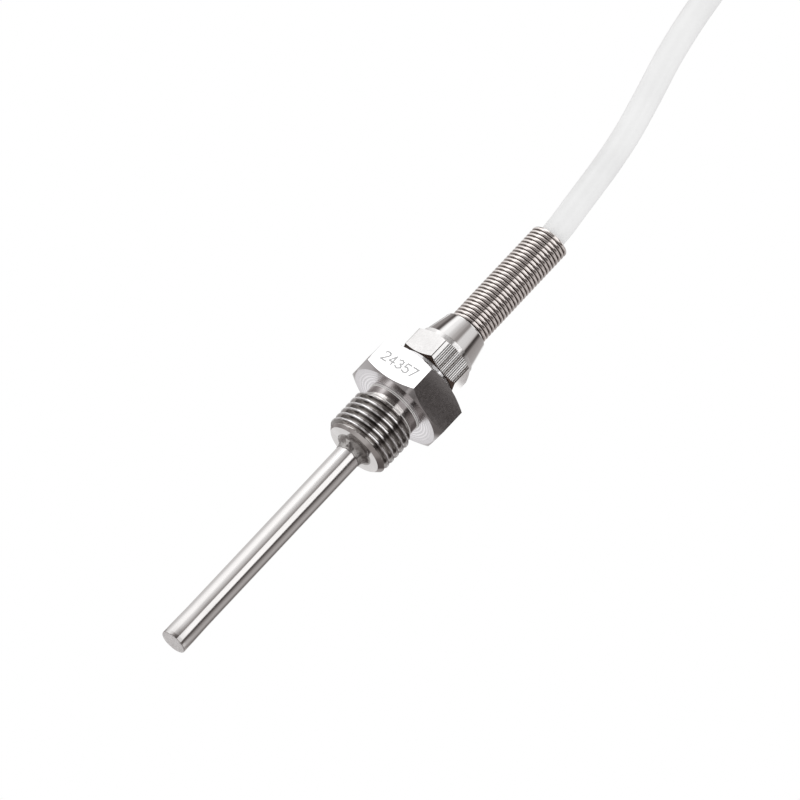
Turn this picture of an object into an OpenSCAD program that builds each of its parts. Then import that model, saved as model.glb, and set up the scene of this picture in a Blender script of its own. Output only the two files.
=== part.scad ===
// Threaded resistance temperature probe with a spring-guarded cable.
// The probe's axis is X: the tip points to -X and the cable leaves towards +X.
// The origin is on that axis, in the sealing face of the large hexagon.
// The probe lies on one flat of that hexagon, and the cable lies beside it on the same surface.

/* [Stem] */
// Outer diameter of the sheath
stem_d = 5; // [4:0.1:5.4]
// Length of bare sheath in front of the threaded nipple
stem_length = 50.4; // [40:0.2:120]
// Wall of the sheath tube
sheath_wall = 0.4; // [0.3:0.05:0.45]
// Extra diameter at the closed tip
tip_swell = 0.16; // [0:0.02:0.3]
// Length over which the tip grows to that diameter
tip_taper = 6; // [2:0.5:10]
// Thickness of the end cap welded into the tip
cap_thickness = 0.8; // [0.5:0.1:1.5]
// Diameter of the weld bead where the sheath meets the nipple
weld_d = 7.3; // [6.8:0.1:8.5]
// How far the weld bead runs along the sheath
weld_height = 1.8; // [1:0.1:3]

/* [Process thread] */
// Outer diameter of the parallel pipe thread
thread_od = 13; // [12.9:0.05:13.2]
// Distance from one thread crest to the next
thread_pitch = 1.337; // [1:0.01:1.5]
// Depth of the thread form
thread_depth = 0.856; // [0.6:0.01:0.9]
// Length of the nipple from its front face to the large hexagon
nipple_length = 11.3; // [9:0.1:16]
// Diameter of the plain groove between the thread and the hexagon
relief_d = 11; // [10.6:0.1:11.2]
// Width of that groove
relief_width = 2.6; // [2:0.1:3.4]
// Size of the lead-in chamfer at the front of the thread
lead_chamfer = 1; // [0.6:0.1:1.4]

/* [Large hexagon] */
// Width across flats
hex_af = 18.8; // [17:0.1:22]
// Height along the axis
hex_height = 7; // [5:0.1:10]
// Diameter of the turned face inside the corner chamfers
hex_face_d = 18.4; // [17:0.1:18.8]
// Diameter of the collar behind the hexagon
collar_d = 11.7; // [11:0.1:12.4]
// Height of the collar
collar_height = 2; // [1:0.1:3]

/* [Cable gland] */
// Diameter of the threaded spigot that carries the spring nut
spigot_d = 9; // [8.6:0.1:9.4]
// Length of that spigot
spigot_length = 3.9; // [3.6:0.1:4.2]
// Diameter of the cavity for the cable seal
cavity_d = 7; // [6.6:0.1:7.4]
// Height of the nut's hexagon
nut_height = 5; // [4.9:0.1:7]
// Width across flats of the nut
nut_af = 11.7; // [11.4:0.1:12.4]
// Turn of the nut about the axis, against the large hexagon
nut_turn = 16.6; // [0:0.2:30]
// Height of the plain band behind the nut's hexagon
band_height = 1; // [0.5:0.1:2]
// Diameter of that band
band_d = 11.1; // [10.6:0.1:11.3]
// Length of the cone behind the band, without its rounded lip
cone_length = 4.7; // [3:0.1:8]
// Diameter of the cone at the lip
cone_top_d = 8.8; // [8.7:0.1:9.6]
// Radius of the rounded lip
lip_radius = 0.4; // [0.2:0.05:0.5]
// Distance between the grooves on the gripped faces
groove_pitch = 0.38; // [0.25:0.01:0.6]
// Depth of those grooves
groove_depth = 0.17; // [0.05:0.01:0.2]
// Plain margin beside the grooves
groove_margin = 0.55; // [0.3:0.05:1]

/* [Strain relief spring] */
// Outer diameter of the spring
spring_od = 7.6; // [7.2:0.1:7.8]
// Diameter of its wire
wire_d = 0.78; // [0.6:0.02:0.8]
// Distance from one coil to the next
coil_pitch = 0.81; // [0.81:0.01:1.2]
// Length of spring that stands out of the cone
spring_visible = 24.2; // [15:0.1:40]
// Thickness of the washer under the spring
washer_thickness = 0.6; // [0.4:0.05:0.8]

/* [Cable] */
// Outer diameter of the cable
cable_d = 5; // [4.6:0.1:5]
// Diameter of one insulated core
core_d = 1.2; // [0.8:0.1:1.2]
// Mean width of the stored hank, between its two long sides
hank_mean_w = 35; // [34:1:40]
// Length of the hank's straight sides
hank_straight = 78; // [60:1:90]
// Width of the tie round one side of the hank
tie_width = 4; // [3:0.5:6]
// Thickness of the tie
tie_thickness = 0.6; // [0.4:0.1:1]

/* [Sensing end] */
// Diameter of the ceramic sensing element
element_d = 1.6; // [1.2:0.1:2]
// Length of the sensing element
element_length = 10; // [6:1:15]
// Diameter of an element lead
lead_d = 0.3; // [0.2:0.05:0.4]
// Length of an element lead between the element and its splice
lead_length = 5; // [3:0.5:8]
// Length of a splice sleeve
splice_length = 3; // [2:0.5:5]

/* [Hidden] */
$fn = 72;

// Clearances
slip = 0.02;          // parts that are pushed together
thread_gap = 0.05;    // the spring nut on its spigot
spring_gap = 0.1;     // the spring in the nut's bore
washer_gap = 0.15;    // round the thrust washer
fill_gap = 0.05;      // between loose inner parts, end to end
core_gap = 0.06;      // between the three cores

// Stations along the axis, from tip to cable
nipple_front = -nipple_length;
tip_end = nipple_front - stem_length;
weld_toe = nipple_front - weld_height;
seal_floor = hex_height - 3;                 // bottom of the gland cavity
sheath_rear = seal_floor + 1;                // the sheath stands 1 mm into the cavity
collar_rear = hex_height + collar_height;
spigot_rear = collar_rear + spigot_length;
washer_front = spigot_rear + 0.1;
washer_rear = washer_front + washer_thickness;
band_front = collar_rear + nut_height;
cone_front = band_front + band_height;
lip_front = cone_front + cone_length;
nut_rear = lip_front + lip_radius;
spring_rear = nut_rear + spring_visible;
jacket_front = spigot_rear - 5.4;            // the cable jacket starts inside the cavity

// Radii
sheath_r = stem_d / 2;
sheath_bore_r = sheath_r - sheath_wall;
thread_r = thread_od / 2;
root_r = thread_r - thread_depth;
hex_corner_r = hex_af / 2 / cos(30);
nut_corner_r = nut_af / 2 / cos(30);
cable_r = cable_d / 2;
core_r = core_d / 2;
core_ring_r = core_r / sin(60) + core_gap;   // three cores side by side round the axis
nut_bore_r = spigot_d / 2 + thread_gap;
spring_bore_r = spring_od / 2 + spring_gap;
thread_flank = 27.5;                         // half of the 55 degree thread form
chamfer_angle = 30;                          // of both hexagons

// Stations of the sensing end
element_front = tip_end + cap_thickness + 2.2;
element_rear = element_front + element_length;
splice_front = element_rear + lead_length;
splice_rear = splice_front + splice_length;

// The surface that the probe lies on
floor_z = -hex_af / 2;

// The hank: turns of cable round two ends, two side by side and one in the groove over them
hank_x = 174.5;
hank_y = -4.5;
cable_z = floor_z + cable_r;
layer_rise = cable_d * sin(60);              // the upper turn lies in the groove of the lower ones
outer_y = hank_y + (hank_mean_w + cable_d) / 2;
hank_front = hank_x - hank_straight / 2;

// The free cable: points of its centre line, from inside the gland to the hank's outer turn
RUN = [
    [7.5, 0, 0], [14, 0, 0], [20, 0, 0], [30, 0, 0], [38, 0.1, 0], [42, 0.2, 0],
    [45, 0.3, -0.05], [48, 0.6, -0.25], [52, 1.4, -0.85], [57, 2.5, -1.9], [64, 4.2, -3.6],
    [72, 6.4, -5.3], [81, 9.2, -6.5], [91, 12.1, cable_z], [102, 14.2, cable_z], [113, outer_y - 0.2, cable_z],
    [124, outer_y, cable_z], [hank_front, outer_y, cable_z], [hank_front + 6.5, outer_y, cable_z]
];

// The end boot and the bare core ends, lying on the surface inside the hank
boot_x = 174;
boot_length = 14;
boot_r = cable_r + 0.4;
boot_y = hank_y;
boot_z = floor_z + boot_r;
core_end_x = 208;
core_spread = 2.6;
ferrule_length = 5;
ferrule_pin = 6;
ferrule_r = core_r + 0.3;
ferrule_z = floor_z + ferrule_r;

// The last stretch, from the hank's inner turn to the end boot
tail_x = hank_front - 1.5;
function ease(t) = let (u = min(max(t, 0), 1)) u * u * (3 - 2 * u);
TAIL = [for (i = [0:10])
    let (x = tail_x + (boot_x + 1 - tail_x) * i / 10, share = ease((x - tail_x - 4) / (boot_x - tail_x - 9)))
    [x, hank_y + (hank_mean_w / 2 - cable_r) * (1 - share), cable_z + (boot_r - cable_r) * share]];

// ---- Shapes that repeat ----

// A solid of revolution about X from points [radius, x]
module turned(profile, faces = $fn)
    rotate([0, 90, 0]) rotate_extrude($fn = faces) polygon(profile);

// A round bar along X
module bar(x0, x1, r)
    translate([x0, 0, 0]) rotate([0, 90, 0]) cylinder(h = x1 - x0, r = r);

// A tube along X
module tube(x0, x1, r, bore)
    difference() {
        bar(x0, x1, r);
        bar(x0 - 1, x1 + 1, bore);
    }

// A prism along X with its outline in the YZ plane, angles counted from +Y towards +Z
module prism(x0, height, outline)
    translate([x0, 0, 0]) rotate([0, 90, 0]) rotate([0, 0, 90]) linear_extrude(height) polygon(outline);

// The round envelope that chamfers both ends of a hexagon
module hex_envelope(x0, height, face_r, corner_r) {
    reach = corner_r + 0.5;
    rise = (reach - face_r) * tan(chamfer_angle);
    turned([[0, x0], [face_r, x0], [reach, x0 + rise], [reach, x0 + height - rise],
            [face_r, x0 + height], [0, x0 + height]]);
}

// One of the three cores' places round the axis
function core_place(i) = [core_ring_r * cos(120 * i + 90), core_ring_r * sin(120 * i + 90)];

// A tube of round section swept along points that never run straight up
function unit(v) = v / norm(v);
function heading(points, i) =
    unit(points[min(i + 1, len(points) - 1)] - points[max(i - 1, 0)]);
module swept(points, r, sides) {
    rings = [for (i = [0:len(points) - 1])
        let (ahead = heading(points, i), side = unit(cross(ahead, [0, 0, 1])), up = cross(side, ahead))
        for (k = [0:sides - 1])
            points[i] + r * (cos(360 * k / sides) * side + sin(360 * k / sides) * up)];
    last = (len(points) - 1) * sides;
    walls = [for (i = [0:len(points) - 2], k = [0:sides - 1])
        let (a = i * sides + k, b = i * sides + (k + 1) % sides)
        [a, b, b + sides, a + sides]];
    front = [for (k = [0:sides - 1]) sides - 1 - k];
    rear = [for (k = [0:sides - 1]) last + k];
    polyhedron(rings, concat([front], walls, [rear]), convexity = 6);
}

// ---- Stem and sensing end ----

module probe_sheath() {
    tip_r = sheath_r + tip_swell / 2;
    tube_end = tip_end + cap_thickness;
    color("gainsboro") turned([
        [tip_r, tube_end], [tip_r, tube_end + 1], [sheath_r, tube_end + 1 + tip_taper],
        [sheath_r, sheath_rear], [sheath_bore_r, sheath_rear], [sheath_bore_r, tube_end]
    ]);
}

module tip_cap() {
    tip_r = sheath_r + tip_swell / 2;
    edge = 0.12;
    plug_r = sheath_bore_r - slip;
    tube_end = tip_end + cap_thickness;
    color("silver") turned([
        [0, tip_end], [tip_r - edge, tip_end], [tip_r, tip_end + edge], [tip_r, tube_end],
        [plug_r, tube_end], [plug_r, tube_end + 1.2], [0, tube_end + 1.2]
    ]);
}

module sensing_element()
    color("white") bar(element_front, element_rear, element_d / 2);

module element_insulator()
    color("ivory") tube(element_front - fill_gap, element_rear, sheath_bore_r - slip, element_d / 2 + slip);

module element_leads()
    color("gold")
        for (i = [0:2])
            translate([0, core_place(i)[0] * 0.75, core_place(i)[1] * 0.75])
                bar(element_rear, splice_front + splice_length / 2, lead_d / 2);

module splice_sleeves()
    color("silver")
        for (i = [0:2])
            translate([0, core_place(i)[0], core_place(i)[1]])
                difference() {
                    bar(splice_front, splice_rear, core_r);
                    translate([0, -core_place(i)[0] / 4, -core_place(i)[1] / 4])
                        bar(splice_front - 1, splice_front + splice_length / 2, lead_d / 2 + slip);
                }

module core_wire(i, shade)
    color(shade)
        translate([0, core_place(i)[0], core_place(i)[1]])
            bar(splice_rear, jacket_front, core_r);

module insulating_sleeve()
    color("linen")
        tube(element_rear + fill_gap, sheath_rear, sheath_bore_r - slip, core_ring_r + core_r + 0.1);

// ---- Process fitting ----

// The nipple's thread as ridges, cut by the lead-in chamfer
module nipple() {
    flank = thread_depth * tan(thread_flank);
    crest = (thread_pitch - 2 * flank) / 2;
    first = -relief_width - flank - crest / 2;
    count = ceil((nipple_length - relief_width) / thread_pitch) + 1;
    ridges = [for (i = [0:count - 1])
        let (x = first - i * thread_pitch)
        each [[root_r, x + crest / 2 + flank], [thread_r, x + crest / 2],
              [thread_r, x - crest / 2], [root_r, x - crest / 2 - flank]]];
    far = first - count * thread_pitch;
    intersection() {
        turned(concat([[0, 1], [relief_d / 2, 1], [relief_d / 2, -relief_width]], ridges, [[root_r, far], [0, far]]));
        turned([
            [0, 1], [thread_r + 1, 1], [thread_r + 1, nipple_front + lead_chamfer + 1],
            [thread_r, nipple_front + lead_chamfer],
            [thread_r - lead_chamfer, nipple_front], [0, nipple_front]
        ]);
    }
}

module large_hexagon()
    intersection() {
        prism(0, hex_height, [for (i = [0:5]) hex_corner_r * [cos(60 * i), sin(60 * i)]]);
        hex_envelope(0, hex_height, hex_face_d / 2, hex_corner_r);
    }

module process_fitting() {
    edge = 0.2;
    color("lightgray") difference() {
        union() {
            nipple();
            large_hexagon();
            bar(hex_height - 1, collar_rear, collar_d / 2);
            turned([
                [0, hex_height], [spigot_d / 2, hex_height], [spigot_d / 2, spigot_rear - edge],
                [spigot_d / 2 - edge, spigot_rear], [0, spigot_rear]
            ]);
        }
        bar(nipple_front - 1, seal_floor + 1, sheath_r + slip);
        bar(seal_floor, spigot_rear + 1, cavity_d / 2);
    }
}

// A hollow fillet of weld metal round the sheath
module weld_bead() {
    inner = sheath_r + slip;
    skirt = weld_d / 2 - inner;
    toe = 0.1;
    arc = [for (a = [0:10:90])
        [weld_d / 2 - (skirt - toe) * sin(a), nipple_front - weld_height * (1 - cos(a))]];
    color("dimgray") turned(concat(arc, [[inner, weld_toe], [inner, nipple_front]]));
}

// ---- Cable gland ----

module potting_plug()
    color("darkslategray") difference() {
        bar(sheath_rear, jacket_front, cavity_d / 2 - slip);
        for (i = [0:2])
            translate([0, core_place(i)[0], core_place(i)[1]])
                bar(sheath_rear - 1, jacket_front + 1, core_r + slip);
    }

module cable_grommet()
    color("dimgray")
        tube(jacket_front + 0.5, washer_front, cavity_d / 2 - slip, cable_r + slip);

module thrust_washer()
    color("silver")
        tube(washer_front, washer_rear, nut_bore_r - washer_gap, cable_r + 0.25);

// A close-wound compression spring: one wire in a helix, drawn as a ring of points per step
module strain_relief_spring() {
    steps = 16;
    sides = 6;
    wire_r = wire_d / 2;
    helix_r = spring_od / 2 - wire_r;
    start = washer_rear + wire_r;
    turns = floor((spring_rear - washer_rear - wire_d) / coil_pitch * steps) / steps;
    count = round(turns * steps);
    rings = [for (i = [0:count], k = [0:sides - 1])
        let (turn = 360 * i / steps, ring = 360 * k / sides, r = helix_r + wire_r * cos(ring))
        [start + coil_pitch * i / steps + wire_r * sin(ring), r * cos(turn), r * sin(turn)]];
    walls = [for (i = [0:count - 1], k = [0:sides - 1])
        let (a = i * sides + k, b = i * sides + (k + 1) % sides)
        [a, a + sides, b + sides, b]];
    front = [for (k = [0:sides - 1]) k];
    rear = [for (k = [0:sides - 1]) count * sides + sides - 1 - k];
    color("lightsteelblue") polyhedron(rings, concat([front], walls, [rear]), convexity = 10);
}

// The nut's outline: a hexagon with fine grooves on every other face
function nut_outline() = [for (face = [0:5])
    let (
        middle = 120 + nut_turn + 60 * face,
        half = nut_corner_r / 2,
        flat = nut_af / 2,
        grooves = face % 2 == 0 ? floor((2 * half - 2 * groove_margin) / groove_pitch) : 0,
        from = -grooves * groove_pitch / 2
    )
    each concat(
        [in_face(middle, flat, -half)],
        [for (g = [0:1:grooves - 1])
            each [in_face(middle, flat, from + g * groove_pitch + 0.05),
                  in_face(middle, flat - groove_depth, from + (g + 0.5) * groove_pitch),
                  in_face(middle, flat, from + (g + 1) * groove_pitch - 0.05)]]
    )];
function in_face(angle, out, along) =
    [out * cos(angle) - along * sin(angle), out * sin(angle) + along * cos(angle)];

module spring_nut() {
    lip_centre_r = cone_top_d / 2 - lip_radius;
    color("whitesmoke") difference() {
        union() {
            intersection() {
                prism(collar_rear, nut_height, nut_outline());
                hex_envelope(collar_rear, nut_height, nut_af / 2 - 0.05, nut_corner_r);
            }
            turned(concat(
                [[0, band_front - 1], [band_d / 2, band_front - 1], [band_d / 2, cone_front],
                 [band_d / 2 - 0.15, cone_front]],
                [for (a = [0:15:90]) [lip_centre_r + lip_radius * cos(a), lip_front + lip_radius * sin(a)]],
                [[0, nut_rear]]
            ));
        }
        bar(collar_rear - 1, washer_rear + fill_gap, nut_bore_r);
        bar(collar_rear, nut_rear + 1, spring_bore_r);
    }
}

// ---- Free cable ----

module cable_run()
    color("white") swept(RUN, cable_r, 12);

module cable_tail()
    color("white") swept(TAIL, cable_r, 12);

// The outline of the turns that lie together, cut across
module bundle() {
    height = cable_d + layer_rise;
    low = cable_r * 0.6;
    polygon([
        [-cable_d + low, 0], [cable_d - low, 0], [cable_d, low], [cable_d, cable_d * 0.8],
        [cable_r, height], [-cable_r, height], [-cable_d, cable_d * 0.8], [-cable_d, low]
    ]);
}

// The outer shape of the stored turns: that outline along two straight sides and round two ends
module cable_coil()
    color("white") translate([hank_x, hank_y, floor_z]) {
        for (side = [-1, 1])
            translate([-hank_straight / 2, side * hank_mean_w / 2, 0])
                rotate([90, 0, 90]) linear_extrude(hank_straight) bundle();
        for (end = [-1, 1])
            translate([end * hank_straight / 2, 0, 0])
                rotate([0, 0, -90 * end]) rotate_extrude(angle = 180) translate([hank_mean_w / 2, 0]) bundle();
    }

// A flat strap round one side of the hank
module coil_tie() {
    wide = 2 * cable_d;
    high = cable_d + layer_rise;
    color("black") translate([hank_x, hank_y - hank_mean_w / 2, floor_z]) difference() {
        translate([-tie_width / 2, -wide / 2 - tie_thickness, 0])
            cube([tie_width, wide + 2 * tie_thickness, high + tie_thickness]);
        translate([-tie_width, -wide / 2, tie_thickness])
            cube([2 * tie_width, wide, high - tie_thickness]);
    }
}

module end_boot()
    color("dimgray") translate([0, boot_y, boot_z]) difference() {
        bar(boot_x, boot_x + boot_length, boot_r);
        bar(boot_x - 1, boot_x + 1, cable_r + slip);
        for (i = [0:2])
            translate([0, core_place(i)[0], core_place(i)[1]])
                bar(boot_x + boot_length - 3, boot_x + boot_length + 1, core_r + slip);
    }

// A bare core from the boot to its ferrule, coming down to the surface
module tail_core(i, shade) {
    start = [boot_x + boot_length, boot_y + core_place(i)[0], boot_z + core_place(i)[1]];
    side = [0, -1, 1][i] * core_spread;
    end = [core_end_x, boot_y + side, ferrule_z];
    color(shade) swept([
        start - [3, 0, 0], start, start + [3, side * 0.1, -0.3],
        [start[0] * 0.5 + end[0] * 0.5, boot_y + side * 0.7, ferrule_z + 0.5], end - [3, 0, 0], end
    ], core_r, 8);
}

module core_ferrules()
    color("silver")
        for (i = [0:2])
            translate([0, boot_y + [0, -1, 1][i] * core_spread, ferrule_z]) {
                bar(core_end_x, core_end_x + ferrule_length, ferrule_r);
                bar(core_end_x + ferrule_length, core_end_x + ferrule_length + ferrule_pin, core_r);
            }

probe_sheath();
tip_cap();
sensing_element();
element_insulator();
element_leads();
splice_sleeves();
core_wire(0, "red");  // core_wire_a
core_wire(1, "red");  // core_wire_b
core_wire(2, "white");  // core_wire_c
insulating_sleeve();
process_fitting();
weld_bead();
potting_plug();
cable_grommet();
thrust_washer();
strain_relief_spring();
spring_nut();
cable_run();
cable_coil();
coil_tie();
cable_tail();
end_boot();
tail_core(0, "red");  // tail_core_a
tail_core(1, "red");  // tail_core_b
tail_core(2, "white");  // tail_core_c
core_ferrules();
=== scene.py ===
"""Looks of the threaded resistance temperature probe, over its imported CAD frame."""
import math
import random

import bmesh
import bpy
from mathutils import Matrix, Vector, noise


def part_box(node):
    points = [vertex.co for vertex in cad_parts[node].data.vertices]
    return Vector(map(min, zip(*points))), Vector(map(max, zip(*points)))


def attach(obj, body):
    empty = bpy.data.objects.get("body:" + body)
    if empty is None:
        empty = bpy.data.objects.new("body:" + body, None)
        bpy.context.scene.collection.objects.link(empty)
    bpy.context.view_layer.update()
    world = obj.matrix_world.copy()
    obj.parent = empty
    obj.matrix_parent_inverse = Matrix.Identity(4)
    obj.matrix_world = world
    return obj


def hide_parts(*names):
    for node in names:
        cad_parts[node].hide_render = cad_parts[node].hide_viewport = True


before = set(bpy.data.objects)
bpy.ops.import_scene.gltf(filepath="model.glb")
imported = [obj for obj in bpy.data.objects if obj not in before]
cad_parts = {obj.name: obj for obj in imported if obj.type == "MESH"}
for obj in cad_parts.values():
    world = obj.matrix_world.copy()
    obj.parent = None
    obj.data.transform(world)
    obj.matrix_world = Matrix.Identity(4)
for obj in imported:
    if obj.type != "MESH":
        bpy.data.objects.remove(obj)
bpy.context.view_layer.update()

MM = 0.001
TAU = 2 * math.pi


# ---- Sizes, in millimetres along the probe's axis X, as in the part ----

def span(node):
    """Lowest and highest corner of a CAD node, in millimetres."""
    low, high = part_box(node)
    return low / MM, high / MM


cap_low, cap_high = span("tip_cap")
fitting_low, fitting_high = span("process_fitting")
nut_low, nut_high = span("spring_nut")
spring_low, spring_high = span("strain_relief_spring")

TIP_END = cap_low.x
TIP_R = cap_high.y
TIP_TAPER = 6.0
CAP_THICKNESS = 0.8
SHEATH_R = 2.5
SHEATH_BORE_R = 2.1
SHEATH_REAR = 5.0
WELD_R = 3.65
WELD_HEIGHT = 1.8
NIPPLE_FRONT = fitting_low.x
THREAD_R = 6.5
THREAD_PITCH = 1.337
THREAD_DEPTH = 0.856
CREST_DEPTH = 0.14    # the worn crests reach down this far
RELIEF_R = 5.5
RELIEF_WIDTH = 2.6
LEAD_CHAMFER = 1.0    # on the first turn
HEX_FLAT = fitting_high.z
HEX_HEIGHT = 7.0
HEX_FACE_R = 9.2    # the flat faces of the hexagon end here, and its chamfers start
COLLAR_R = 5.85
COLLAR_REAR = nut_low.x
SPIGOT_R = 4.5
SPIGOT_REAR = fitting_high.x
SEAL_FLOOR = 4.0    # the front of the cavity for the seal
CAVITY_R = 3.5
SLIP = 0.02    # between parts that fit into each other
NUT_FLAT = 5.85
NUT_HEIGHT = 5.0
NUT_TURN = 16.6    # degrees, from the fitting's hexagon
NUT_BORE_R = 4.55
GROOVE_PITCH = 0.38
GROOVE_DEPTH = 0.17
GROOVE_MARGIN = 0.55    # of a side, before its first groove
BAND_R = 5.55
BAND_HEIGHT = 1.0
CONE_TOP_R = 4.4
LIP_R = 0.4
NUT_REAR = nut_high.x
SPRING_BORE_R = 3.9
SPRING_R = spring_high.y
WIRE_R = 0.39
COIL_PITCH = 0.81
CABLE_R = 2.5
FLOOR_Z = -HEX_FLAT
CHAMFER = math.tan(math.radians(30))

# The free cable's route, the same points as in the part, in millimetres
RUN = [
    (20.3, 0, 0), (30, 0, 0), (38, 0.1, 0), (42, 0.2, 0), (45, 0.3, -0.05), (48, 0.6, -0.25),
    (52, 1.4, -0.85), (57, 2.5, -1.9), (64, 4.2, -3.6), (72, 6.4, -5.3), (81, 9.2, -6.5), (91, 12.1, -6.9),
    (102, 14.2, -6.9), (113, 15.3, -6.9), (124, 15.5, -6.9),
]
CABLE_Z = FLOOR_Z + CABLE_R
HANK_X = 174.5
HANK_Y = -4.5
HANK_HALF = 39.0
OUTER_R, MIDDLE_R, INNER_R = 20.0, 17.5, 15.0
NEST_RISE = 2 * CABLE_R * math.sin(math.radians(60))    # of a turn that lies between two others
BOOT_X = 174.0
BOOT_LENGTH = 14.0
BOOT_R = CABLE_R + 0.4
TIE_WIDTH = 4.0
TIE_THICKNESS = 0.6


# ---- Camera: the picture's view, seen from a distance with a long lens ----

AXIS_TILT = math.radians(20.67)      # the tip points this far towards the camera
AXIS_IN_VIEW = math.radians(46.8)    # the axis rises this far from the picture's horizontal
VIEW_TURN = math.radians(118.6)      # the side that faces the camera, from +Y towards +Z
VIEW_WIDTH = 143.6 * MM
VIEW_DISTANCE = 4.0
LOOK_AT = Vector((1.65, 0.09, 0.05)) * MM

axis = Vector((1, 0, 0))
facing = Vector((0, math.cos(VIEW_TURN), math.sin(VIEW_TURN)))
beside = Vector((0, math.cos(VIEW_TURN + math.pi / 2), math.sin(VIEW_TURN + math.pi / 2)))
back = math.cos(AXIS_TILT) * facing - math.sin(AXIS_TILT) * axis
along = math.cos(AXIS_TILT) * axis + math.sin(AXIS_TILT) * facing
right = math.cos(AXIS_IN_VIEW) * along + math.sin(AXIS_IN_VIEW) * beside
up = math.sin(AXIS_IN_VIEW) * along - math.cos(AXIS_IN_VIEW) * beside

SENSOR_WIDTH = 36
scene = bpy.context.scene
camera = bpy.data.objects.new("camera", bpy.data.cameras.new("camera"))
scene.collection.objects.link(camera)
scene.camera = camera
camera.data.sensor_width = SENSOR_WIDTH
camera.data.lens = SENSOR_WIDTH * VIEW_DISTANCE / VIEW_WIDTH
camera.data.clip_start = 0.01
camera.data.clip_end = 20
turn = Matrix((right, up, back)).transposed().to_4x4()
camera.matrix_world = Matrix.Translation(LOOK_AT + back * VIEW_DISTANCE) @ turn


# ---- Light: a white studio, with strips round the probe's axis that the metal reflects ----

STRIP_RADIUS = 0.3    # metres, like the distances along the ring below
STRIP_REACH = 1.2
STRIP_STEPS = 240
# Brightness by direction about the axis, in degrees from the camera's side towards the lower right.
# A side face reflects the stretch of the ring beside it, and a sloping one a stretch further off.
FAR_FRONT = [
    (-180, 0.06), (-150, 0.1), (-132, 0.3), (-105, 0.3), (-80, 0.4), (-50, 0.5), (-20, 0.5), (25, 0.5),
    (50, 0.3), (75, 0.3), (110, 0.3), (150, 0.1), (180, 0.06),
]
FRONT = [
    (-180, 0.8), (-165, 0.75), (-152, 0.5), (-138, 0.42), (-125, 0.3), (-115, 0.35), (-106, 0.42),
    (-94, 0.65), (-84, 1.2), (-74, 1.2), (-66, 0.6), (-58, 0.35), (-50, 0.16), (-41, 0.1), (-7, 0.05),
    (-3, 0.05), (2, 0.6), (34, 0.6), (38, 0.04), (50, 0.04), (57, 0.1), (72, 0.2), (80, 0.27), (97, 0.3),
    (110, 0.16), (125, 0.12), (146, 0.12), (152, 0.45), (160, 0.7), (180, 0.8),
]
BEFORE_STEM = [
    (-180, 0.5), (-150, 0.3), (-134, 0.28), (-124, 0.7), (-105, 0.9), (-85, 1.1), (-70, 0.9), (-55, 0.75),
    (-46, 0.4), (-38, 0.3), (-25, 0.12), (-3, 0.1), (2, 0.8), (41, 0.8), (47, 0.1), (62, 0.1), (72, 0.6),
    (86, 0.7), (100, 0.55), (113, 0.25), (125, 0.35), (150, 0.4), (180, 0.5),
]
ALONG_STEM = [
    (-180, 0.6), (-140, 0.66), (-118, 0.72), (-100, 1.0), (-88, 1.2), (-67, 1.28), (-57, 1.26), (-47, 1.06),
    (-40, 0.86), (-31, 0.75), (-22, 0.62), (-14, 0.46), (-7, 0.3), (-2, 0.3), (3, 1.25), (39, 1.25),
    (45, 0.08), (54, 0.08), (62, 0.17), (71, 0.3), (83, 0.39), (95, 0.46), (108, 0.4), (120, 0.3),
    (130, 0.16), (142, 0.12), (150, 0.45), (180, 0.6),
]
ALONG_THREAD = [
    (-180, 0.9), (-165, 0.6), (-135, 0.7), (-120, 0.45), (-106, 0.5), (-92, 0.7), (-80, 0.9), (-76, 1.8),
    (-58, 1.8), (-53, 0.6), (-48, 0.3), (-41, 0.2), (-24, 0.12), (-7, 0.1), (-3, 0.1), (2, 1.6), (36, 1.6),
    (39, 0.04), (50, 0.04), (57, 0.1), (66, 0.35), (97, 0.42), (125, 0.25), (150, 0.2), (180, 0.9),
]
ALONG_HEX = [
    (-180, 0.35), (-115, 0.6), (-98, 2.0), (-48, 2.0), (-40, 0.5), (-33, 0.08), (-2, 0.06), (2, 0.55),
    (36, 0.55), (41, 0.05), (90, 0.055), (110, 0.12), (150, 0.2), (180, 0.35),
]
ALONG_COLLAR = [
    (-180, 0.8), (-90, 1.1), (-62, 1.2), (-50, 1.05), (-42, 0.95), (-30, 0.85), (-20, 0.68), (-12, 0.55),
    (-3, 0.5), (1, 1.25), (35, 1.25), (39, 0.5), (43, 0.06), (52, 0.04), (58, 0.2), (75, 0.5), (90, 0.35),
    (110, 0.2), (180, 0.8),
]
ALONG_NUT = [
    (-180, 0.8), (-105, 0.95), (-50, 0.95), (-44, 0.05), (28, 0.05), (32, 1.2), (50, 1.2), (54, 0.03),
    (146, 0.04), (150, 1.2), (180, 1.2),
]
ALONG_BAND = [
    (-180, 0.5), (-90, 0.8), (-80, 1.15), (-55, 1.12), (-49, 1.0), (-41, 0.9), (-33, 0.8), (-24, 0.7),
    (-17, 0.62), (-10, 0.55), (-5, 0.48), (0, 1.15), (30, 1.1), (36, 0.8), (40, 0.2), (50, 0.08),
    (58, 0.06), (68, 0.18), (79, 0.27), (120, 0.35), (180, 0.5),
]
ALONG_SPRING = [
    (-180, 0.05), (-165, 0.05), (-150, 1.2), (-70, 1.5), (-56, 0.9), (-50, 0.3), (-20, 0.05), (-3, 0.05),
    (0, 1.6), (40, 1.6), (45, 0.02), (62, 0.02), (68, 0.9), (130, 1.0), (150, 0.95), (180, 0.9),
]
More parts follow.
